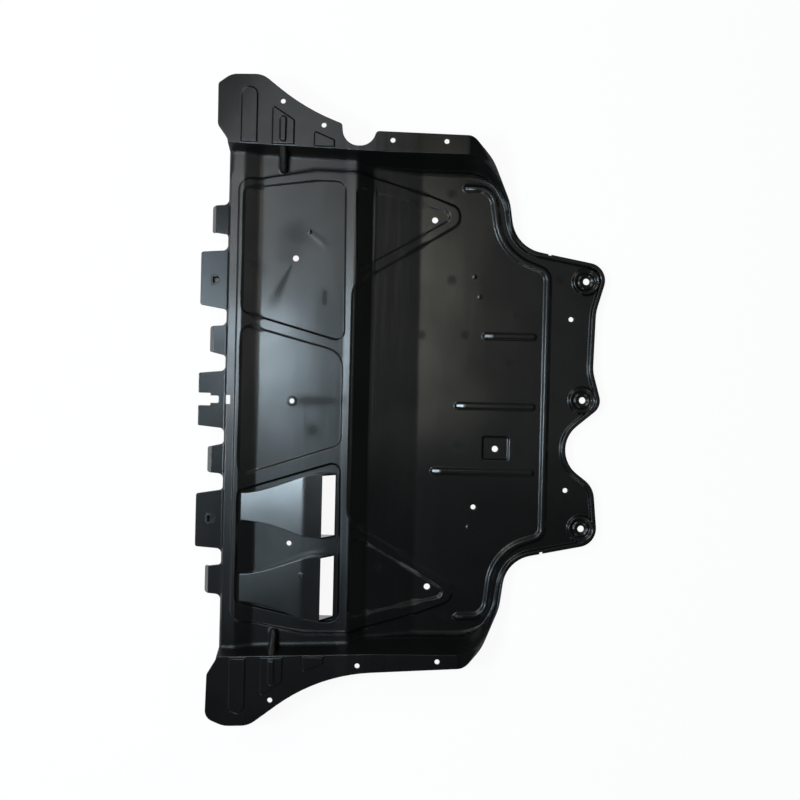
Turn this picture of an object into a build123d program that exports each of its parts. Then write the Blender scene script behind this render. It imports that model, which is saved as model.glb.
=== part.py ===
from build123d import *
import math
import os

# Engine splash shield: one moulded sheet, seen from its engine side with the tub open to +Z
# X runs from the car's front edge to its rear edge, Y across the car, Z up into the engine bay
# All sizes are in millimetres

# Sheet
WALL = 2.5
FLOOR_Z = 2.5
PAD_Z = 27.0
FLANGE_Z = 55.0
DRAFT = 20.0
RIM_Z = 8.5
RIM_WIDTH = 9.5
SKY = 300.0

# Overall plan
FRONT_X = -285.5
EAR_X = -302.0
SIDE_FRONT_Y = 395.5
SIDE_MID_Y = 383.0

# Floor profile along X: corner x, corner z, bend radius
TAB_Z = 28.0
STRIP_Z = 33.0
RIDGE_X = -77.0
FLOOR_PROFILE = [
    (-360.0, TAB_Z - 6.5, 0.0),
    (FRONT_X - 0.5, TAB_Z, 0.0),
    (FRONT_X + 3.5, STRIP_Z, 0.0),
    (-261.0, STRIP_Z, 8.0),
    (-233.0, PAD_Z, 30.0),
    (RIDGE_X, PAD_Z, 12.0),
    (RIDGE_X + 26.0, 11.0, 14.0),
    (27.0, FLOOR_Z, 40.0),
    (360.0, FLOOR_Z, 0.0),
]

# Height of the flange and rim along X
TOP_PROFILE = [
    (-360.0, FLANGE_Z, 0.0),
    (104.0, FLANGE_Z, 16.0),
    (184.0, RIM_Z, 24.0),
    (360.0, RIM_Z, 0.0),
]

# Raised stiffening bands, beads and ribs
BAND_HEIGHT = 3.0
BEAD_WIDTH = 13.0
BEAD_HEIGHT = 4.0
RIB_WIDTH = 12.5
RIB_HEIGHT = 3.2
RIB_END_X = 224.0
HOLLOW_INSET = 3.0
RIBS = [(133.0, 114.2), (89.5, -1.7), (52.0, -110.3)]

# Air ducts
DUCT_LIP_X = -121.0
DUCT_END_X = -102.0
DUCT_LIP_Z = 64.0
DUCT_SHOULDER = (-150.0, 60.5)

# Holes
CLIP_HOLE_D = 8.0
PANEL_HOLE_D = 10.0
BOSS_HOLE_D = 10.6
FLANGE_HOLES = [(-198.0, 480.4), (-131.8, 443.4), (-20.7, 421.7), (65.9, 421.7),
                (-198.0, -480.4), (-59.2, -422.3), (68.8, -413.0)]
SMALL_HOLES = [(279.5, 144.9), (276.0, -137.8), (124.6, -168.5), (-175.7, -231.8), (-176.1, 0.0)]
LARGE_HOLES = [(51.2, 303.7), (51.2, -301.7), (-174.9, 232.4), (158.8, -71.9)]
BOSSES = [(303.0, 207.5), (300.8, 11.5), (303.0, -200.5)]

# Blind clip pockets in the wide tabs, and small notches in the rim: x, y, angle
POCKET_X = -304.5
POCKET_Y = 195.0
POCKET_SIZE = 10.0
RIM_NOTCHES = [(242.0, 252.0, -10.7), (238.0, -243.0, 11.6)]

# Square well around the drain hole
WELL_CENTRE = (159.5, -70.5)
WELL_SIZE = (45.0, 39.5)
WELL_DEPTH = 4.0


def unit(a, b):
    """Direction from point a to point b"""
    length = math.hypot(b[0] - a[0], b[1] - a[1])
    return ((b[0] - a[0]) / length, (b[1] - a[1]) / length)


def draw_rounded(corners, closed=True):
    """Draws straight runs joined by tangent arcs through corners given as x, y, radius"""
    count = len(corners)
    marks = []
    for i in range(count):
        x, y, radius = corners[i]
        ends = not closed and i in (0, count - 1)
        if ends or radius <= 0:
            marks.append(((x, y), None, (x, y)))
            continue
        back = unit((x, y), corners[i - 1])
        ahead = unit((x, y), corners[(i + 1) % count])
        cosine = back[0] * ahead[0] + back[1] * ahead[1]
        half = math.acos(max(-1.0, min(1.0, cosine))) / 2
        run = radius / math.tan(half)
        middle = radius / math.sin(half) - radius
        across = (back[0] + ahead[0], back[1] + ahead[1])
        size = math.hypot(across[0], across[1])
        start = (x + back[0] * run, y + back[1] * run)
        end = (x + ahead[0] * run, y + ahead[1] * run)
        mid = (x + across[0] / size * middle, y + across[1] / size * middle)
        marks.append((start, mid, end))
    last = count if closed else count - 1
    for i in range(count):
        start, mid, end = marks[i]
        if mid is not None:
            ThreePointArc(start, mid, end)
        if i < last:
            follow = marks[(i + 1) % count][0]
            if math.hypot(follow[0] - end[0], follow[1] - end[1]) > 1e-4:
                Line(end, follow)


def shifted(path, lift, closed=False):
    """The same corners moved to the left of the path by lift, with bends kept concentric"""
    moved = []
    count = len(path)
    for i, (x, y, radius) in enumerate(path):
        before = unit(path[i - 1], path[i]) if i > 0 or closed else unit(path[0], path[1])
        after = unit(path[i], path[(i + 1) % count]) if i < count - 1 or closed else before
        turn = before[0] * after[1] - before[1] * after[0]
        reach = lift / (1 + before[0] * after[0] + before[1] * after[1])
        side_x = -(before[1] + after[1]) * reach
        side_y = (before[0] + after[0]) * reach
        bend = radius - lift if turn > 0 else radius + lift
        moved.append((x + side_x, y + side_y, max(bend, 0.0) if radius > 0 else 0.0))
    return moved


def air_above(path, lift=0.0):
    """Everything above a height profile that runs along X"""
    moved = shifted(path, lift)
    first = moved[0]
    last = moved[-1]
    with BuildPart() as air:
        with BuildSketch(Plane.XZ):
            with BuildLine():
                draw_rounded(moved, closed=False)
                Line((last[0], last[1]), (last[0], SKY))
                Line((last[0], SKY), (first[0], SKY))
                Line((first[0], SKY), (first[0], first[1]))
            make_face()
        extrude(amount=600, both=True)
    return air.part


def mirrored(corners):
    """Corners mirrored about the X axis, listed the other way round"""
    return [(x, -y, radius) for x, y, radius in reversed(corners)]


# Tabs along the front edge: near root, near tip, far tip, far root, tip x
SHORT_TIP_X = -314.0
LONG_TIP_X = -329.5
TABS = [
    (71.5, 78.0, 119.0, 121.0, SHORT_TIP_X),
    (146.5, 154.0, 240.5, 243.0, LONG_TIP_X),
    (268.5, 272.5, 315.5, 317.5, SHORT_TIP_X),
]


# The short tabs' tips bend down by 60 degrees at the fold
FOLD_X = -306.5
FOLD_Z = TAB_Z - 6.5 * (FRONT_X - 0.5 - FOLD_X) / (FRONT_X - 0.5 + 360.0)
FOLD_PROFILE = [(FOLD_X - 15.0, FOLD_Z - 26.0, 0.0), (FOLD_X, FOLD_Z, 0.0), (FOLD_X + 5.0, FOLD_Z + 0.44, 0.0)]


def tab_corners():
    """Front edge from the centre tab out to the upper ear"""
    run = [(-295.5, 6.0, 2.5), (-309.0, 6.0, 0.0), (-309.0, 10.2, 1.5), (-329.2, 10.2, 2.5)]
    run += [(-329.2, 42.8, 2.5), (FRONT_X, 47.0, 8.0)]
    for near_root, near_tip, far_tip, far_root, tip_x in TABS:
        run += [(FRONT_X, near_root, 6.0), (tip_x, near_tip, 4.0)]
        run += [(tip_x, far_tip, 4.0), (FRONT_X, far_root, 8.5)]
    return run


UPPER_SIDE = [
    (FRONT_X, 417.5, 14.0), (EAR_X, 440.5, 14.0), (EAR_X - 0.5, 507.5, 6.0), (-282.0, 522.5, 30.0),
    (-231.5, 523.2, 34.0), (-163.0, 469.7, 340.0), (-102.5, 446.5, 5.5), (-99.5, 412.0, 25.5),
    (-50.0, 412.0, 25.5), (-48.0, 436.0, 6.0), (110.0, 432.3, 22.0), (143.5, 399.5, 80.0),
    (173.6, 333.5, 70.0), (185.0, 261.5, 60.0),
]
REAR_SIDE = [
    (341.0, 232.0, 29.0), (319.6, 157.5, 80.0), (316.8, 59.5, 60.0), (332.5, 2.5, 24.0),
    (243.8, -71.9, 50.0), (321.4, -130.6, 40.0), (330.0, -224.0, 31.0),
]
LOWER_SIDE = [
    (181.0, -254.5, 56.0), (170.0, -332.0, 64.0), (141.5, -395.0, 70.0), (114.0, -423.0, 24.0),
    (-121.0, -438.5, 280.0), (-231.5, -522.0, 38.0), (-272.0, -523.5, 40.0), (EAR_X, -511.0, 18.0),
    (-300.5, -441.0, 14.0), (FRONT_X, -415.5, 14.0),
]
PLAIN_OUTLINE = UPPER_SIDE + REAR_SIDE + LOWER_SIDE
TABBED_OUTLINE = PLAIN_OUTLINE + mirrored(tab_corners()) + tab_corners()

# Plan of the tub floor at z = 0, open towards the front and following the rim at the rear
SHOULDER_RUN = UPPER_SIDE[-3:] + REAR_SIDE + LOWER_SIDE[:3]
TUB_CORNER = (137.0, 381.5, 60.0)
TUB_PLAN = [(-360.0, SIDE_FRONT_Y, 0.0), (-30.0, SIDE_MID_Y, 300.0), TUB_CORNER]
TUB_PLAN += shifted(SHOULDER_RUN, -RIM_WIDTH)[1:-1]
TUB_PLAN += [(TUB_CORNER[0], -TUB_CORNER[1], TUB_CORNER[2]), (-30.0, -SIDE_MID_Y, 300.0)]
TUB_PLAN += [(-360.0, -SIDE_FRONT_Y, 0.0)]


def tub_air(grow, base_z):
    """The drafted inside of the tub, made larger all round by grow"""
    slope = math.tan(math.radians(DRAFT))
    wider = grow / math.cos(math.radians(DRAFT)) + base_z * slope
    with BuildPart() as tub:
        with BuildSketch(Plane.XY.offset(base_z)):
            with BuildLine():
                draw_rounded(shifted(TUB_PLAN, wider, closed=True))
            make_face()
        extrude(amount=62 - base_z, taper=-DRAFT)
    return tub.part


# Band network: outer edge of the upper half, then the lowered pads inside it
BAND_LEFT_X = -270.0
BAND_EDGE = [
    (BAND_LEFT_X, 362.5, 22.0), (-233.0, 362.5, 0.0), (-146.0, 378.5, 40.0), (-73.0, 377.0, 40.0),
    (38.0, 346.5, 0.0), (94.0, 325.0, 20.0), (94.0, 297.0, 20.0), (-80.0, 190.5, 30.0),
]
BAND_OUTLINE = BAND_EDGE + mirrored(BAND_EDGE)
PAD_LEFT_X = -258.5
PAD_RIGHT_X = -96.5
PADS = [
    [(PAD_LEFT_X, 344.0, 8.0), (-233.0, 346.2, 0.0), (-141.0, 358.0, 30.0), (PAD_RIGHT_X - 1, 357.0, 14.0),
     (PAD_RIGHT_X + 2, 99.5, 12.0), (PAD_LEFT_X, 145.0, 10.0)],
    [(PAD_LEFT_X, 122.0, 12.0), (PAD_RIGHT_X, 79.5, 30.0), (PAD_RIGHT_X, -68.0, 14.0),
     (PAD_LEFT_X, -121.5, 10.0)],
    [(PAD_LEFT_X, -149.0, 8.0), (PAD_RIGHT_X, -98.0, 12.0), (PAD_RIGHT_X + 2, -355.0, 14.0),
     (-122.0, -356.5, 30.0), (PAD_LEFT_X, -327.5, 8.0)],
]
TRIANGLE = [(-76.0, 350.5, 8.0), (87.0, 313.0, 8.0), (-73.0, 219.0, 8.0)]
PADS += [TRIANGLE, mirrored(TRIANGLE)]


def prism(corners, bottom, top):
    """An upright block on a rounded outline"""
    with BuildPart() as block:
        with BuildSketch(Plane.XY.offset(bottom)):
            with BuildLine():
                draw_rounded(corners)
            make_face()
        extrude(amount=top - bottom)
    return block.part


def ring_prism(outline, openings, bottom, top):
    """An upright block on a rounded outline with openings left in it"""
    with BuildPart() as block:
        with BuildSketch(Plane.XY.offset(bottom)):
            with BuildLine():
                draw_rounded(outline)
            make_face()
            for opening in openings:
                with BuildSketch(Plane.XY.offset(bottom), mode=Mode.PRIVATE) as hole:
                    with BuildLine():
                        draw_rounded(opening)
                    make_face()
                add(hole.sketch_local, mode=Mode.SUBTRACT)
        extrude(amount=top - bottom)
    return block.part


# Raised bead that follows the rear rim, drawn along its middle
BEAD_PATH = [
    (96.0, 357.0, 0.0), (146.0, 357.5, 28.0), (162.0, 251.2, 88.0), (240.0, 221.5, 20.0),
    (239.3, -214.5, 18.0), (160.2, -241.0, 80.0), (148.0, -349.5, 26.0), (96.0, -350.0, 0.0),
]

# Shallow pads on the two side flanges
LONG_PAD = [(-265.0, 503.5, 13.3), (-238.0, 503.5, 13.3), (-238.0, 413.5, 0.0), (-265.0, 413.5, 0.0)]
FIRST_PAD = [(-215.0, 474.5, 3.0), (-178.5, 451.0, 4.0), (-178.5, 411.0, 0.0), (-215.0, 411.0, 0.0)]
SECOND_PAD = [(-147.5, 434.5, 3.0), (-113.5, 420.5, 4.0), (-113.5, 408.5, 0.0), (-147.5, 408.5, 0.0)]
PAD_HEIGHT = 1.8

# Folded rib that stiffens the corner between side wall and flange
GUSSET_X = -197.0
GUSSET_HALF = 6.3
GUSSET_TAPER = 1.3
GUSSET_ENDS = (371.0, 457.0)
GUSSET_HEIGHT = PAD_HEIGHT + 2.2
GUSSET_SLOPE = 2.4
GUSSET_PROFILE = [(460.0, FLANGE_Z - 1.5), (460.0, FLANGE_Z + GUSSET_HEIGHT),
                  (418.0, FLANGE_Z + GUSSET_HEIGHT), (368.0, PAD_Z + 1.0), (368.0, PAD_Z - 1.0),
                  (406.2, PAD_Z - 1.0), (416.2, FLANGE_Z - 1.5)]
GUSSET_CORE = [(452.0, 15.0), (452.0, 56.4), (419.2, 56.4), (380.0, 33.8), (380.0, 15.0)]

# Duct plan measured from the middle of its narrow end
DUCT_STARTS = [(-260.0, -173.5), (-260.0, -305.0)]
DUCT_HALF = 21.7
DUCT_UPPER = [(0.0, DUCT_HALF), (38.0, 27.5), (93.0, 47.0), (123.0, 56.5), (159.0, 57.0)]
DUCT_LOWER = [(0.0, -DUCT_HALF), (38.0, -24.5), (78.0, -33.0), (106.0, -42.0), (136.0, -45.8), (159.0, -46.0)]


def capsule(x0, x1, y, width):
    """A clockwise strip outline along X with rounded ends"""
    half = width / 2
    bend = half - 0.1
    return [(x0, y + half, bend), (x1, y + half, bend), (x1, y - half, bend), (x0, y - half, bend)]


def strip(path, half, end_radius):
    """A clockwise strip outline around an open path"""
    sides = shifted(path, half) + list(reversed(shifted(path, -half)))
    count = len(path)
    ends = (0, count - 1, count, 2 * count - 1)
    return [(x, y, end_radius if i in ends else radius) for i, (x, y, radius) in enumerate(sides)]


def press_up(corners, hollow_corners, base_z, height):
    """A raised pad with sloped sides and the hollow that leaves it one wall thick"""
    with BuildPart() as outer:
        add(prism(corners, base_z - 0.3, base_z + height))
        chamfer(outer.faces().sort_by(Axis.Z)[-1].edges(), height + 0.1)
    inner = prism(hollow_corners, base_z - WALL - 0.5, base_z + height - WALL)
    return outer.part, inner


def sharp(corners, inset):
    """An outline moved inwards by inset, with its corners left square"""
    return [(x, y, 0.0) for x, y, radius in shifted(corners, -inset, closed=True)]


def side_block(profile, x0, x1):
    """A block with a given outline in Y and Z between two X positions"""
    with BuildPart() as block:
        with BuildSketch(Plane.YZ.offset(x0)):
            with BuildLine():
                Polyline(*profile, close=True)
            make_face()
        extrude(amount=x1 - x0)
    return block.part


def long_block(profile):
    """A block with a given rounded outline in X and Z, running right across the tray"""
    with BuildPart() as block:
        with BuildSketch(Plane.XZ):
            with BuildLine():
                draw_rounded(profile)
            make_face()
        extrude(amount=600, both=True)
    return block.part


def duct_plan(start, inset, x_end, bottom, top):
    """An upright block on the flared duct plan"""
    upper = [(start[0] + x, start[1] + y - inset) for x, y in DUCT_UPPER]
    lower = [(start[0] + x, start[1] + y + inset) for x, y in DUCT_LOWER]
    with BuildPart() as block:
        with BuildSketch(Plane.XY.offset(bottom)):
            with BuildLine():
                Spline(*upper, tangents=[(1, 0.02), (1, 0)])
                Line(upper[-1], lower[-1])
                Spline(*lower, tangents=[(1, -0.02), (1, 0)])
                Line(lower[0], upper[0])
            make_face()
        extrude(amount=top - bottom)
        with Locations((x_end + 50.0, start[1], 50.0)):
            Box(100.0, 300.0, 200.0, mode=Mode.SUBTRACT)
    return block.part


def turned(profile, x, y):
    """A ring turned about an upright axis from a radius and height outline"""
    with BuildPart() as ring:
        with BuildSketch(Plane.XZ):
            with BuildLine():
                Polyline(*profile, close=True)
            make_face()
        revolve(axis=Axis.Z)
    return ring.part.moved(Location((x, y, 0)))


def top_edges(block):
    """Edges that bound the upward faces of a block, each edge once"""
    found = {}
    for face in block.faces():
        if face.normal_at(face.center()).Z > 0.5:
            for edge in face.edges():
                spot = edge @ 0.5
                key = (round(spot.X, 3), round(spot.Y, 3), round(spot.Z, 3))
                found.setdefault(key, []).append(edge)
    return [edges[0] for edges in found.values() if len(edges) == 1]


# Floor, walls and flange as one sheet
tub_inside = tub_air(0.0, 0.0)
tub_outside = tub_air(WALL, -2.0)
outline = prism(TABBED_OUTLINE, -20.0, 100.0)

with BuildPart() as wall:
    add(outline)
    add(air_above(FLOOR_PROFILE, -WALL), mode=Mode.INTERSECT)
    add(tub_outside, mode=Mode.INTERSECT)

with BuildPart() as hollow:
    add(air_above(FLOOR_PROFILE))
    add(tub_inside, mode=Mode.INTERSECT)

# Raised band network with sloped edges, and the hollow under it
with BuildPart() as band:
    add(ring_prism(BAND_OUTLINE, PADS, -20.0, 60.0))
    add(air_above(FLOOR_PROFILE, BAND_HEIGHT), mode=Mode.SUBTRACT)
    add(air_above(FLOOR_PROFILE, -1.0), mode=Mode.INTERSECT)
    chamfer(top_edges(band.part), BAND_HEIGHT + 0.1)

with BuildPart() as band_hollow:
    add(ring_prism(shifted(BAND_OUTLINE, -2.4, closed=True), [sharp(pad, -2.4) for pad in PADS], -20.0, 60.0))
    add(air_above(FLOOR_PROFILE, BAND_HEIGHT - WALL), mode=Mode.SUBTRACT)
    add(air_above(FLOOR_PROFILE, -WALL - 1.0), mode=Mode.INTERSECT)

# Shapes that stand up from the sheet, and the hollows and holes cut from it
raised = [band.part]
cut = [band_hollow.part]

# Bead and ribs on the rear floor, and shallow pads on both side flanges
bead = strip(BEAD_PATH, BEAD_WIDTH / 2, 6.2)
first, *between, last = BEAD_PATH
setback = BEAD_WIDTH / 2
bead_core = [(first[0] + setback, first[1], 0.0), *between, (last[0] + setback, last[1], 0.0)]
bead_hollow = strip(bead_core, BEAD_WIDTH / 2 - HOLLOW_INSET, 0.0)
pressed = [press_up(bead, bead_hollow, FLOOR_Z, BEAD_HEIGHT)]
for start_x, rib_y in RIBS:
    rib = capsule(start_x, RIB_END_X, rib_y, RIB_WIDTH)
    pressed.append(press_up(rib, sharp(rib, HOLLOW_INSET), FLOOR_Z, RIB_HEIGHT))
for pad in (LONG_PAD, FIRST_PAD, SECOND_PAD):
    for corners in (pad, mirrored(pad)):
        pressed.append(press_up(corners, sharp(corners, HOLLOW_INSET), FLANGE_Z, PAD_HEIGHT))
for outer, inner in pressed:
    raised.append(outer)
    cut.append(inner)

# Corner gussets folded over the side walls
low, high = GUSSET_ENDS
GUSSET_FOOT = GUSSET_HALF - GUSSET_TAPER
rib_plan = [
    (GUSSET_X - GUSSET_HALF, high, GUSSET_HALF - 0.2), (GUSSET_X + GUSSET_HALF, high, GUSSET_HALF - 0.2),
    (GUSSET_X + GUSSET_FOOT, low, 0.0), (GUSSET_X - GUSSET_FOOT, low, 0.0),
]
for side in (1, -1):
    plan = rib_plan if side > 0 else mirrored(rib_plan)
    shape = [(side * y, z) for y, z in GUSSET_PROFILE]
    core = [(side * y, z) for y, z in GUSSET_CORE]
    with BuildPart() as gusset:
        add(prism(plan, 20.0, 70.0))
        add(side_block(shape, GUSSET_X - 20, GUSSET_X + 20), mode=Mode.INTERSECT)
        chamfer(top_edges(gusset.part), GUSSET_SLOPE)
    raised.append(gusset.part)
    cut.append(side_block(core, GUSSET_X - GUSSET_HALF + 3.4, GUSSET_X + GUSSET_HALF - 3.4))

# Hooked tips of the short tabs, bent down past the fold
fold_low = air_above(FOLD_PROFILE, -WALL)
fold_air = air_above(FOLD_PROFILE)
for near_root, near_tip, far_tip, far_root, tip_x in TABS:
    if tip_x < SHORT_TIP_X:
        continue
    for side in (1, -1):
        reach = (FOLD_X - 15.0, side * (near_root + far_root) / 2, 20.0)
        with BuildPart() as tip:
            with Locations(reach):
                Box(30.0, far_root - near_root + 20.0, 60.0)
            add(outline, mode=Mode.INTERSECT)
            add(fold_low, mode=Mode.INTERSECT)
            add(fold_air, mode=Mode.SUBTRACT)
        with BuildPart() as tip_air:
            with Locations(reach):
                Box(30.0, far_root - near_root + 20.0, 60.0)
            add(fold_air, mode=Mode.INTERSECT)
        raised.append(tip.part)
        cut.append(tip_air.part)

# Flared air ducts that rise out of the floor and open to the rear
RAMP = [
    (DUCT_STARTS[0][0] - 8.0, 15.0, 0.0), (DUCT_STARTS[0][0] - 8.0, 28.0, 0.0), (*DUCT_SHOULDER, 45.0),
    (DUCT_LIP_X, DUCT_LIP_Z, 2.0), (DUCT_END_X + 1.0, PAD_Z, 0.0), (DUCT_END_X + 1.0, 15.0, 0.0),
]
VOID = [
    (DUCT_STARTS[0][0] - 8.0, -20.0, 0.0), (DUCT_STARTS[0][0] - 8.0, 25.2, 0.0),
    (DUCT_SHOULDER[0] + 0.5, DUCT_SHOULDER[1] - WALL - 0.1, 43.0),
    (DUCT_LIP_X, DUCT_LIP_Z - WALL, 0.0), (DUCT_LIP_X, 100.0, 0.0),
    (DUCT_END_X, 100.0, 0.0), (DUCT_END_X, -20.0, 0.0),
]
for start in DUCT_STARTS:
    with BuildPart() as scoop:
        add(duct_plan(start, 0.0, DUCT_END_X + 1.0, 10.0, 90.0))
        add(long_block(RAMP), mode=Mode.INTERSECT)
        add(air_above(FLOOR_PROFILE, -1.0), mode=Mode.INTERSECT)
    with BuildPart() as passage:
        add(duct_plan((start[0] + WALL, start[1]), WALL, DUCT_END_X, -10.0, 90.0))
        add(long_block(VOID), mode=Mode.INTERSECT)
    raised.append(scoop.part)
    cut.append(passage.part)

# Square well around the drain hole
with BuildPart() as well:
    with BuildSketch(Plane.XY.offset(1.0)):
        with Locations(WELL_CENTRE):
            RectangleRounded(WELL_SIZE[0] + 4.0, WELL_SIZE[1] + 4.0, 7.0)
    extrude(amount=-(WELL_DEPTH + WALL - 1.5), taper=20)
with BuildPart() as well_inside:
    with BuildSketch(Plane.XY.offset(FLOOR_Z + 0.5)):
        with Locations(WELL_CENTRE):
            RectangleRounded(WELL_SIZE[0] + 0.6, WELL_SIZE[1] + 0.6, 5.0)
    extrude(amount=-(WELL_DEPTH + 0.5), taper=30)
raised.append(well.part)
cut.append(well_inside.part)

# Dished bosses for the three rear bolts
for x, y in BOSSES:
    raised.append(turned([(0, 0), (24.2, 0), (20.8, 8.5), (0, 8.5)], x, y))
    cut.append(turned([(0, 12), (19.3, 12), (19.3, 8.5), (14.0, 4.0), (11.3, 6.4), (8.4, 4.2), (0, 4.2)], x, y))
    cut.append(turned([(0, -3), (22.8, -3), (19.4, 5.4), (13.8, 1.4), (0, 1.4)], x, y))

# Collar round the middle panel's hole, clip pockets in the wide tabs, the centre tab's slot
with BuildPart() as collar:
    with Locations((SMALL_HOLES[-1][0], SMALL_HOLES[-1][1], PAD_Z - 0.5)):
        Cone(8.5, 6.6, 1.9, align=(Align.CENTER, Align.CENTER, Align.MIN))
raised.append(collar.part)
with BuildPart() as pockets:
    with Locations((POCKET_X, POCKET_Y, 19.5), (POCKET_X, -POCKET_Y, 19.5)):
        Box(POCKET_SIZE + 2 * WALL, POCKET_SIZE + 2 * WALL, 14.0)
with BuildPart() as openings:
    with Locations((POCKET_X, POCKET_Y, 22.5), (POCKET_X, -POCKET_Y, 22.5)):
        Box(POCKET_SIZE, POCKET_SIZE, 15.0)
    for x, y, angle in RIM_NOTCHES:
        with Locations(Location((x, y, 8.0), (0, 0, angle))):
            Box(5.0, 6.0, 12.0)
    with Locations((-279.6, 0.0, 30.0)):
        Box(7.4, 14.6, 20.0)
    with Locations(*[(x, y, 30.0) for x, y in FLANGE_HOLES + SMALL_HOLES]):
        Cylinder(CLIP_HOLE_D / 2, 80.0)
    with Locations(*[(x, y, 10.0) for x, y in LARGE_HOLES]):
        Cylinder(PANEL_HOLE_D / 2, 80.0)
    with Locations(*[(x, y, 10.0) for x, y in BOSSES]):
        Cylinder(BOSS_HOLE_D / 2, 80.0)
raised += pockets.part.solids()
cut += openings.part.solids()

# The sheet itself: flange, walls and floor, then the raised shapes, then the cuts
with BuildPart() as sheet:
    add(outline)
    add(air_above(TOP_PROFILE, -WALL), mode=Mode.INTERSECT)
    add(wall.part)
    add(air_above(TOP_PROFILE), mode=Mode.SUBTRACT)
    add(hollow.part, mode=Mode.SUBTRACT)
    add(raised)
    add(cut, mode=Mode.SUBTRACT)

# The whole tray, standing on the origin
box = sheet.part.bounding_box()
with BuildPart() as splash_shield:
    with Locations((-(box.min.X + box.max.X) / 2, -(box.min.Y + box.max.Y) / 2, -box.min.Z)):
        add(sheet.part)
splash_shield.part.label = "splash_shield"

os.makedirs("parts", exist_ok=True)
export_step(splash_shield.part, "parts/splash_shield.step")
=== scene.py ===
import math

import bpy
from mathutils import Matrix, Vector

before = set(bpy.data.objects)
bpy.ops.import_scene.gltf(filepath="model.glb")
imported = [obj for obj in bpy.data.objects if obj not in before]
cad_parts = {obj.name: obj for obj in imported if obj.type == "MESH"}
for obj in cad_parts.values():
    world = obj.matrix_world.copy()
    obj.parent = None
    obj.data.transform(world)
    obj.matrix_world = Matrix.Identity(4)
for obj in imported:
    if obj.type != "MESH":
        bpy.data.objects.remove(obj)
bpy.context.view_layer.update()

scene = bpy.context.scene
scene.view_settings.view_transform = "Standard"


# Small helpers for node trees


def node(tree, kind, place=(0, 0), **values):
    made = tree.nodes.new(kind)
    made.location = place
    for name, value in values.items():
        setattr(made, name, value)
    return made


def link(tree, source, target):
    tree.links.new(source, target)


# The camera looks straight down on the engine side, with a slight roll

CAMERA_HEIGHT = 1.754
CAMERA_ROLL = math.radians(1.30)
camera_data = bpy.data.cameras.new("camera")
camera_data.sensor_width = 36.0
camera_data.lens = 47.58
camera_data.clip_start = 0.05
camera_data.clip_end = 60.0
camera = bpy.data.objects.new("camera", camera_data)
camera.location = (-0.00192, 0.00558, CAMERA_HEIGHT)
camera.rotation_euler = (0.0, 0.0, CAMERA_ROLL)
scene.collection.objects.link(camera)
scene.camera = camera


# Pale floor and room

HALF_FLOOR = 12.0
FLOOR_DROP = 0.0006
FLOOR_SHADE = 0.86
FLOOR_GLOW_SHARE = 0.93
floor_mesh = bpy.data.meshes.new("floor")
floor_mesh.from_pydata(
    [
        (-HALF_FLOOR, -HALF_FLOOR, 0.0),
        (HALF_FLOOR, -HALF_FLOOR, 0.0),
        (HALF_FLOOR, HALF_FLOOR, 0.0),
        (-HALF_FLOOR, HALF_FLOOR, 0.0),
    ],
    [],
    [(0, 1, 2, 3)],
)
floor = bpy.data.objects.new("floor", floor_mesh)
floor.location = (0.0, 0.0, -FLOOR_DROP)
scene.collection.objects.link(floor)

floor_paint = bpy.data.materials.new("floor_white")
floor_paint.use_nodes = True
tree = floor_paint.node_tree
tree.nodes.clear()
out = node(tree, "ShaderNodeOutputMaterial", (600, 0))
diffuse = node(tree, "ShaderNodeBsdfDiffuse", (0, 100))
diffuse.inputs["Color"].default_value = (FLOOR_SHADE, FLOOR_SHADE, FLOOR_SHADE, 1.0)
glow = node(tree, "ShaderNodeEmission", (0, -100))
glow.inputs["Color"].default_value = (1.0, 1.0, 1.0, 1.0)
glow.inputs["Strength"].default_value = 1.0
paths = node(tree, "ShaderNodeLightPath", (-500, 300))
seen = node(tree, "ShaderNodeMath", (-250, 300), operation="MAXIMUM")
seen_more = node(tree, "ShaderNodeMath", (-50, 300), operation="MAXIMUM")
share = node(tree, "ShaderNodeMath", (150, 300), operation="MULTIPLY")
share.inputs[1].default_value = FLOOR_GLOW_SHARE
link(tree, paths.outputs["Is Camera Ray"], seen.inputs[0])
link(tree, paths.outputs["Is Glossy Ray"], seen.inputs[1])
link(tree, seen.outputs[0], seen_more.inputs[0])
link(tree, paths.outputs["Is Transmission Ray"], seen_more.inputs[1])
link(tree, seen_more.outputs[0], share.inputs[0])
mixed = node(tree, "ShaderNodeMixShader", (350, 0))
link(tree, share.outputs[0], mixed.inputs[0])
link(tree, diffuse.outputs[0], mixed.inputs[1])
link(tree, glow.outputs[0], mixed.inputs[2])
link(tree, mixed.outputs[0], out.inputs["Surface"])
floor.data.materials.append(floor_paint)

# The room is brighter near the horizon and towards the left
HORIZON_LEVEL = 0.34
ZENITH_LEVEL = 0.04
LEFT_GAIN = 2.0
RIGHT_GAIN = 0.7
ROOM_TINT = (0.95, 0.98, 1.0, 1.0)
world = bpy.data.worlds.new("room")
scene.world = world
world.use_nodes = True
tree = world.node_tree
tree.nodes.clear()
out = node(tree, "ShaderNodeOutputWorld", (1000, 0))
sky = node(tree, "ShaderNodeBackground", (800, 0))
coords = node(tree, "ShaderNodeTexCoord", (-200, 0))
parts = node(tree, "ShaderNodeSeparateXYZ", (0, 0))
link(tree, coords.outputs["Generated"], parts.inputs[0])
height = node(tree, "ShaderNodeMapRange", (200, 100), interpolation_type="SMOOTHSTEP")
height.inputs["From Min"].default_value = 0.05
height.inputs["From Max"].default_value = 0.60
height.inputs["To Min"].default_value = HORIZON_LEVEL
height.inputs["To Max"].default_value = ZENITH_LEVEL
link(tree, parts.outputs["Z"], height.inputs["Value"])
left = node(tree, "ShaderNodeMapRange", (200, -200), interpolation_type="SMOOTHSTEP")
left.inputs["From Min"].default_value = -1.0
left.inputs["From Max"].default_value = 0.3
left.inputs["To Min"].default_value = LEFT_GAIN
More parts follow.
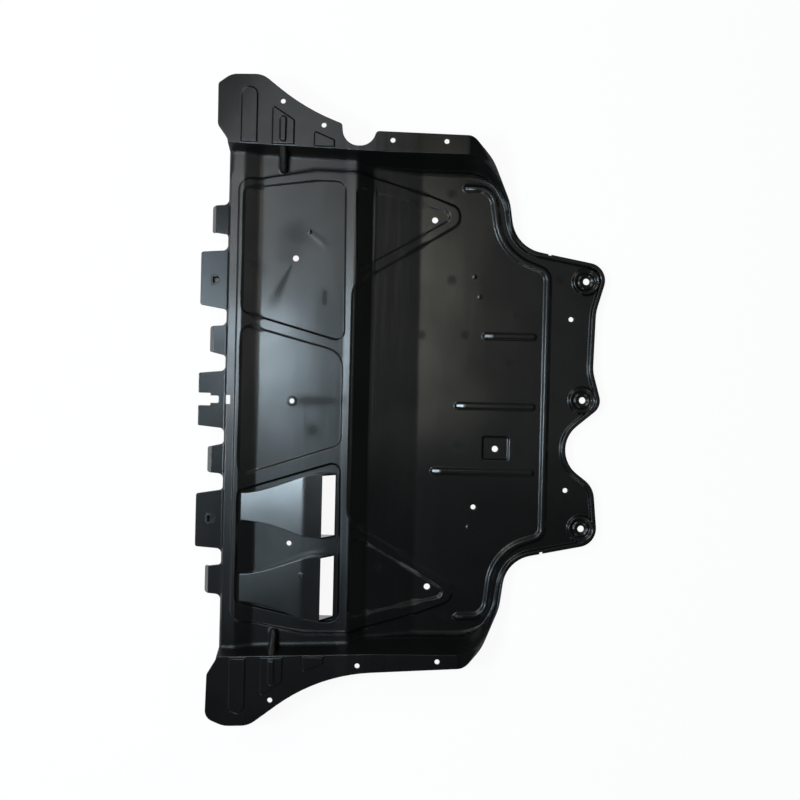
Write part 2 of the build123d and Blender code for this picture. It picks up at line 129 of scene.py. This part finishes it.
left.inputs["To Max"].default_value = RIGHT_GAIN
link(tree, parts.outputs["X"], left.inputs["Value"])
level = node(tree, "ShaderNodeMath", (500, 0), operation="MULTIPLY")
link(tree, height.outputs["Result"], level.inputs[0])
link(tree, left.outputs["Result"], level.inputs[1])
link(tree, level.outputs[0], sky.inputs["Strength"])
link(tree, sky.outputs[0], out.inputs["Surface"])
sky.inputs["Color"].default_value = ROOM_TINT


# Soft studio light, most of it from the left and above

LAMP_Z = 2.30
CENTRE = (0.0, 0.0, 0.0)
TABS_AIM = (-0.3, 0.2, 0.0)
WHITE = (1.0, 1.0, 1.0)
COOL = (0.90, 0.97, 1.0)
BLUISH = (0.70, 0.88, 1.0)
WARM = (1.0, 0.97, 0.92)
OLIVE = (1.0, 0.98, 0.82)


def soft_lamp(name, place, size, radiance, tint, aim=None):
    """Area lamp, which shines straight down where no aim is given"""
    width, length = size
    data = bpy.data.lights.new(name, "AREA")
    data.shape = "RECTANGLE"
    data.size = width
    data.size_y = length
    data.energy = radiance * math.pi * width * length
    data.color = tint
    lamp = bpy.data.objects.new(name, data)
    lamp.location = place
    direction = Vector(aim or (place[0], place[1], 0.0)) - Vector(place)
    lamp.rotation_euler = direction.to_track_quat("-Z", "Y").to_euler()
    scene.collection.objects.link(lamp)


soft_lamp("key", (-0.50, 0.17, LAMP_Z), (0.22, 0.36), 26.0, BLUISH)
soft_lamp("key_low", (-0.44, -0.36, LAMP_Z), (0.22, 0.60), 4.0, BLUISH)
soft_lamp("key_high", (-0.38, 0.95, LAMP_Z), (0.36, 1.10), 2.3, COOL)
soft_lamp("band", (-0.68, 0.37, LAMP_Z), (0.16, 1.10), 6.0, WHITE)
soft_lamp("middle", (0.07, 0.42, 2.35), (0.22, 0.95), 2.8, OLIVE)
soft_lamp("right", (0.9, 0.7, 2.40), (1.1, 2.0), 0.24, WHITE)
soft_lamp("tabs", (-1.22, 0.36, LAMP_Z), (0.34, 0.50), 9.0, BLUISH, TABS_AIM)
soft_lamp("side", (-2.05, -0.08, LAMP_Z), (0.55, 0.80), 43.0, BLUISH, CENTRE)
soft_lamp("front", (-0.90, -2.90, 2.00), (1.0, 0.6), 8.0, WHITE, CENTRE)
soft_lamp("fill", (-1.80, 2.20, LAMP_Z), (1.2, 1.2), 9.0, WARM, CENTRE)


# Black polypropylene, moulded, with a satin face

plastic = bpy.data.materials.new("black_plastic")
plastic.use_nodes = True
tree = plastic.node_tree
tree.nodes.clear()
out = node(tree, "ShaderNodeOutputMaterial", (2600, 0))
skin = node(tree, "ShaderNodeBsdfPrincipled", (2300, 0))
link(tree, skin.outputs[0], out.inputs["Surface"])
skin.inputs["IOR"].default_value = 1.49

coords = node(tree, "ShaderNodeTexCoord", (-2400, 0))
apart = node(tree, "ShaderNodeSeparateXYZ", (-2200, 0))
link(tree, coords.outputs["Object"], apart.inputs[0])
x_place = apart.outputs["X"]
y_place = apart.outputs["Y"]
z_place = apart.outputs["Z"]
flat = node(tree, "ShaderNodeCombineXYZ", (-2000, 200))
link(tree, x_place, flat.inputs["X"])
link(tree, y_place, flat.inputs["Y"])


def feed(target, value):
    if isinstance(value, bpy.types.NodeSocket):
        link(tree, value, target)
    else:
        target.default_value = value


def calc(operation, first, second=0.0, third=None):
    made = node(tree, "ShaderNodeMath", (-600, -900), operation=operation)
    feed(made.inputs[0], first)
    feed(made.inputs[1], second)
    if third is not None:
        feed(made.inputs[2], third)
    return made.outputs[0]


def vector(operation, first, second=(0.0, 0.0, 0.0)):
    made = node(tree, "ShaderNodeVectorMath", (-1000, -900), operation=operation)
    feed(made.inputs[0], first)
    feed(made.inputs[1], second)
    return made.outputs["Value"] if operation in ("DISTANCE", "DOT_PRODUCT") else made.outputs[0]


def ramp(value, low, high, at_low, at_high):
    made = node(tree, "ShaderNodeMapRange", (-800, -900), interpolation_type="SMOOTHSTEP")
    feed(made.inputs["Value"], value)
    made.inputs["From Min"].default_value = low
    made.inputs["From Max"].default_value = high
    made.inputs["To Min"].default_value = at_low
    made.inputs["To Max"].default_value = at_high
    return made.outputs["Result"]


def noise(scale, detail, stretch=(1.0, 1.0, 1.0), twist=0.0):
    place = vector("MULTIPLY", coords.outputs["Object"], stretch)
    made = node(tree, "ShaderNodeTexNoise", (-1400, -900))
    made.inputs["Scale"].default_value = scale
    made.inputs["Detail"].default_value = detail
    made.inputs["Distortion"].default_value = twist
    link(tree, place, made.inputs["Vector"])
    return made.outputs["Fac"]


def spot(x, y, radius, soft):
    """Round mask with a soft rim, in plan"""
    away = vector("DISTANCE", flat.outputs[0], (x, y, 0.0))
    return ramp(away, radius - soft, radius + soft, 1.0, 0.0)


def between(value, low, high, soft):
    rise = ramp(value, low - soft, low + soft, 0.0, 1.0)
    fall = ramp(value, high - soft, high + soft, 1.0, 0.0)
    return calc("MULTIPLY", rise, fall)


def smear(start, end, half_start, half_end):
    """Soft streak in plan that changes width from start to end"""
    run = Vector((end[0] - start[0], end[1] - start[1], 0.0))
    length = run.length
    run.normalize()
    across = Vector((-run.y, run.x, 0.0))
    rel = vector("SUBTRACT", flat.outputs[0], (start[0], start[1], 0.0))
    passed = calc("DIVIDE", vector("DOT_PRODUCT", rel, run), length)
    off = calc("ABSOLUTE", vector("DOT_PRODUCT", rel, across))
    half = calc("MULTIPLY_ADD", passed, half_end - half_start, half_start)
    inside = ramp(calc("DIVIDE", off, calc("MAXIMUM", half, 0.0005)), 0.0, 1.4, 1.0, 0.0)
    ends = calc("MULTIPLY", ramp(passed, -0.10, 0.20, 0.0, 1.0), ramp(passed, 0.50, 1.05, 1.0, 0.0))
    return calc("MULTIPLY", inside, ends)


def strongest(masks):
    total = masks[0]
    for mask in masks[1:]:
        total = calc("MAXIMUM", total, mask)
    return total


# Dull rounds where the ejector pins pressed, and flow marks behind the holes

PINS = [
    (0.0763, 0.3480),
    (0.0795, 0.2059),
    (0.1031, 0.1154),
    (0.1866, 0.1488),
    (0.0303, 0.1138),
    (0.0940, -0.0666),
    (0.0207, -0.1163),
    (-0.0321, -0.2696),
    (0.0772, -0.3481),
    (0.2580, 0.2083),
    (0.1768, 0.0708),
    (0.2745, -0.1535),
    (-0.2435, 0.2205),
]
PIN_RADIUS = 0.0075
PIN_SOFT = 0.0045
PIN_DULLNESS = 0.8
pins = strongest([spot(x, y, PIN_RADIUS, PIN_SOFT) for x, y in PINS])
flows = strongest(
    [
        smear((-0.180, 0.229), (-0.219, 0.145), 0.002, 0.014),
        smear((-0.176, 0.000), (-0.075, 0.003), 0.012, 0.013),
        smear((-0.128, 0.185), (-0.1285, 0.146), 0.007, 0.008),
        calc("MULTIPLY", spot(-0.176, 0.271, 0.020, 0.020), 0.70),
        calc("MULTIPLY", spot(-0.185, 0.236, 0.016, 0.016), 0.45),
        calc("MULTIPLY", spot(-0.238, 0.216, 0.014, 0.014), 0.45),
        spot(-0.144, -0.047, 0.012, 0.012),
    ]
)

# The side walls are duller than the faces that lie flat: rougher, and with their reflections
# darkened as painted shade

WALL_DULLNESS = 1.1
side = calc("ABSOLUTE", y_place)
facing = node(tree, "ShaderNodeSeparateXYZ", (-2000, -300))
link(tree, coords.outputs["Normal"], facing.inputs[0])
steep = ramp(calc("ABSOLUTE", facing.outputs["Z"]), 0.80, 0.93, 1.0, 0.0)
on_wall = calc("MULTIPLY", ramp(side, 0.355, 0.362, 0.0, 1.0), steep)
dull = calc("MAXIMUM", calc("MULTIPLY", pins, PIN_DULLNESS), flows)
dull = calc("MAXIMUM", dull, calc("MULTIPLY", on_wall, WALL_DULLNESS))

# Small raised marks where the melt came in

GATES = [
    (0.1174, 0.2117),
    (0.1264, 0.1788),
    (0.1152, -0.2018),
    (-0.1536, -0.2782),
    (-0.1547, 0.2759),
]
GATE_RADIUS = 0.0022
gates = strongest([spot(x, y, GATE_RADIUS, GATE_RADIUS) for x, y in GATES])

# Tone and gloss, with painted shade darkening the creases

DARK_TONE = (0.0028, 0.0028, 0.0027, 1.0)
LIGHT_TONE = (0.0050, 0.0050, 0.0049, 1.0)
BASE_GLOSS = 0.16
BASE_SHINE = 0.5
PAINTED_SHADE_REACH = 0.005
blotch = noise(9.0, 4.0)
streaks = noise(26.0, 3.0, (1.0, 0.22, 1.0), 0.6)
tone = node(tree, "ShaderNodeMixRGB", (1500, 500))
tone.inputs[1].default_value = DARK_TONE
tone.inputs[2].default_value = LIGHT_TONE
link(tree, blotch, tone.inputs[0])

# Painted shade: ambient occlusion darkens the base colour and the reflections in creases, corners
# and recesses
painted_crease_shade = node(tree, "ShaderNodeAmbientOcclusion", (1200, 300))
painted_crease_shade.samples = 6
painted_crease_shade.only_local = True
painted_crease_shade.inputs["Distance"].default_value = PAINTED_SHADE_REACH
painted_shade_factor = ramp(painted_crease_shade.outputs["AO"], 0.25, 0.90, 0.35, 1.0)
shade = node(tree, "ShaderNodeMixRGB", (1800, 500), blend_type="MULTIPLY")
shade.inputs[0].default_value = 1.0
link(tree, tone.outputs[0], shade.inputs[1])
link(tree, painted_shade_factor, shade.inputs[2])
link(tree, shade.outputs[0], skin.inputs["Base Color"])

cloud = ramp(noise(13.0, 2.0), 0.34, 0.62, 0.84, 1.0)
# Pin marks and flow marks lower the shine, and the side walls' reflections are darkened as painted
# shade
kept_shine = calc("MULTIPLY_ADD", dull, -0.55, 1.0)
# The reflections carry the same painted shade in the creases
shine = calc("MULTIPLY", calc("MULTIPLY", painted_shade_factor, cloud), kept_shine)
link(tree, calc("MULTIPLY", shine, BASE_SHINE), skin.inputs["Specular IOR Level"])
gloss = calc("MULTIPLY_ADD", blotch, 0.06, BASE_GLOSS)
gloss = calc("MULTIPLY_ADD", streaks, 0.03, gloss)
gloss = calc("MULTIPLY_ADD", dull, 0.10, gloss)
link(tree, gloss, skin.inputs["Roughness"])

# Shading rounds the edges, most of all at the foot of both side walls

EDGE_RADIUS = 0.0015
FOOT_RADIUS_FRONT = 0.0070
FOOT_RADIUS_REAR = 0.0150
BEND_RADIUS = 0.0050
FRONT_BEND_GAIN = 1.6
STEP_FOOT_GAIN = 1.4
SCOOP_RADIUS = 0.0070
RIB_RADIUS = 0.0014
near_wall = ramp(side, 0.360, 0.376, 0.0, 1.0)
low = ramp(z_place, 0.036, 0.052, 1.0, 0.0)
foot = calc("MULTIPLY", near_wall, low)
foot_width = ramp(x_place, -0.10, 0.10, FOOT_RADIUS_FRONT, FOOT_RADIUS_REAR)
above_scoops = ramp(y_place, -0.120, -0.100, 0.0, 1.0)
front_bend = calc("MULTIPLY", between(x_place, -0.249, -0.229, 0.005), above_scoops)
floor_bend = between(x_place, 0.004, 0.036, 0.006)
step_foot = between(x_place, -0.064, -0.046, 0.006)
bends = calc("MAXIMUM", floor_bend, calc("MULTIPLY", front_bend, FRONT_BEND_GAIN))
bends = calc("MAXIMUM", bends, calc("MULTIPLY", step_foot, STEP_FOOT_GAIN))
bends = calc("MULTIPLY", bends, ramp(side, 0.356, 0.366, 1.0, 0.0))
upper_scoop = between(y_place, -0.198, -0.142, 0.005)
lower_scoop = between(y_place, -0.328, -0.274, 0.005)
scoop_rows = calc("MAXIMUM", upper_scoop, lower_scoop)
scoops = calc("MULTIPLY", between(x_place, -0.165, -0.133, 0.004), scoop_rows)
ribs = calc("MULTIPLY", ramp(x_place, 0.050, 0.062, 0.0, 1.0), ramp(side, 0.362, 0.372, 1.0, 0.0))
radius = calc("MULTIPLY_ADD", foot, foot_width, EDGE_RADIUS)
radius = calc("MULTIPLY_ADD", bends, BEND_RADIUS, radius)
radius = calc("MULTIPLY_ADD", scoops, SCOOP_RADIUS, radius)
radius = calc("MULTIPLY_ADD", ribs, RIB_RADIUS, radius)
rounded = node(tree, "ShaderNodeBevel", (600, -600))
rounded.samples = 10
link(tree, radius, rounded.inputs["Radius"])

# Crown of the band beside the step, and flow lines on the step's foot

crown = ramp(x_place, -0.0985, -0.0765, 0.0, 1.0)
flow_lines = noise(60.0, 3.0, (1.0, 0.06, 1.0), 0.3)
ripple_across = between(x_place, -0.0515, -0.0475, 0.0022)
ripple_length = between(y_place, 0.215, 0.350, 0.03)
ripple = calc("MULTIPLY", ripple_across, ripple_length)
flow_zone = calc("MULTIPLY", between(x_place, -0.060, 0.020, 0.012), flow_lines)

# The front ends of the ribs and both ends of the bead are shaded as if they ran out in a slope

ENDS = [(0.1320, 0.1143), (0.0885, -0.0016), (0.0510, -0.1102), (0.0975, 0.3558), (0.0915, -0.3515)]
END_LENGTH = 0.016
END_HALF = 0.0028
END_LEAN = 0.40


def end_slope(x, y):
    length = between(x_place, x, x + END_LENGTH, 0.003)
    width = between(y_place, y - END_HALF, y + END_HALF, 0.0014)
    return calc("MULTIPLY", length, width)


end_slopes = strongest([end_slope(x, y) for x, y in ENDS])
lean = node(tree, "ShaderNodeCombineXYZ", (900, -800))
link(tree, calc("MULTIPLY", end_slopes, -END_LEAN), lean.inputs["X"])
sloped = vector("NORMALIZE", vector("ADD", rounded.outputs[0], lean.outputs[0]))

# Slow warp, marks and grain, each as height map, distance and strength

previous = sloped
for height_map, distance, strength in (
    (noise(5.0, 1.0), 0.0030, 1.0),
    (crown, 0.0013, 1.0),
    (smear((-0.154, 0.276), (-0.122, 0.250), 0.005, 0.007), 0.00022, 1.0),
    (flow_zone, 0.0006, 0.8),
    (ripple, 0.0005, 1.0),
    (streaks, 0.00018, 0.8),
    (noise(900.0, 3.0), 0.00004, 0.2),
    (gates, 0.0012, 1.0),
):
    bump = node(tree, "ShaderNodeBump", (1500, -600))
    bump.inputs["Strength"].default_value = strength
    bump.inputs["Distance"].default_value = distance
    link(tree, height_map, bump.inputs["Height"])
    link(tree, previous, bump.inputs["Normal"])
    previous = bump.outputs[0]
link(tree, previous, skin.inputs["Normal"])

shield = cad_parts["splash_shield"]
for place in shield.material_slots:
    place.material = plastic
